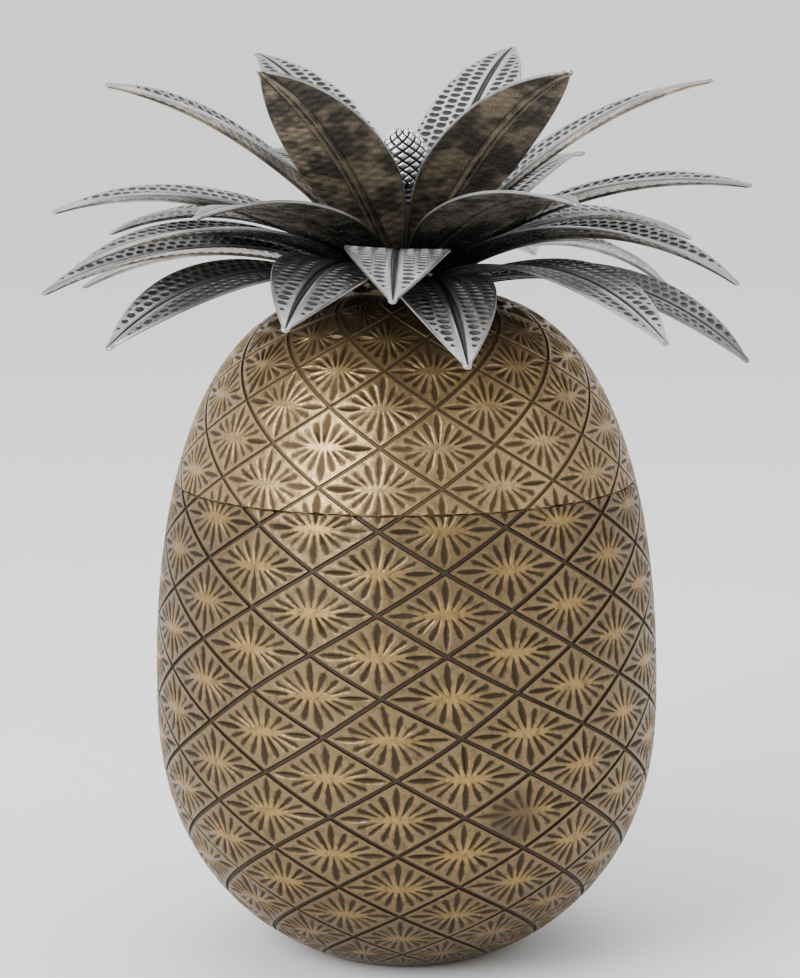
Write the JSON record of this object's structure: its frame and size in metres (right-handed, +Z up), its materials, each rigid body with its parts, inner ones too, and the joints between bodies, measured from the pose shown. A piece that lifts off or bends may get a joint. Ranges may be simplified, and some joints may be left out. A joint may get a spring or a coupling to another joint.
{
  "type": "pineapple ice bucket",
  "caption": "Ice bucket shaped like a pineapple: an egg-shaped carved metal bucket, a lift-off domed lid with a crown of long bent leaves and a small pineapple finial.",
  "frame": {"origin": "centre of the flat foot under the bucket, on the axis of the body", "axes": "+Z up along the body's axis, -Y towards the side seen in the picture, +X to its right"},
  "size_m": [0.2747, 0.2857, 0.3585],
  "materials": {
    "bucket_metal": "antiqued gold, dark in the carving",
    "lid_metal": "antiqued gold, a little lighter than the bucket",
    "leaf_metal": "hammered, dark patina in the dimples",
    "finial_metal": "bright, dark in the net cuts"
  },
  "bodies": {
    "root": {"bucket": "bucket_metal", "lid": "lid_metal", "finial": "finial_metal", "leaf_inner_1": "leaf_metal", "leaf_inner_2": "leaf_metal", "leaf_inner_3": "leaf_metal", "leaf_inner_4": "leaf_metal", "leaf_inner_5": "leaf_metal", "leaf_inner_6": "leaf_metal", "leaf_upper_1": "leaf_metal", "leaf_upper_2": "leaf_metal", "leaf_upper_3": "leaf_metal", "leaf_upper_4": "leaf_metal", "leaf_upper_5": "leaf_metal", "leaf_upper_6": "leaf_metal", "leaf_middle_1": "leaf_metal", "leaf_middle_2": "leaf_metal", "leaf_middle_3": "leaf_metal", "leaf_middle_4": "leaf_metal", "leaf_middle_5": "leaf_metal", "leaf_middle_6": "leaf_metal", "leaf_lower_1": "leaf_metal", "leaf_lower_2": "leaf_metal", "leaf_lower_3": "leaf_metal", "leaf_lower_4": "leaf_metal", "leaf_lower_5": "leaf_metal", "leaf_lowest_1": "leaf_metal", "leaf_lowest_2": "leaf_metal", "leaf_lowest_3": "leaf_metal", "leaf_lowest_4": "leaf_metal", "leaf_lowest_5": "leaf_metal"}
  },
  "joints": []
}
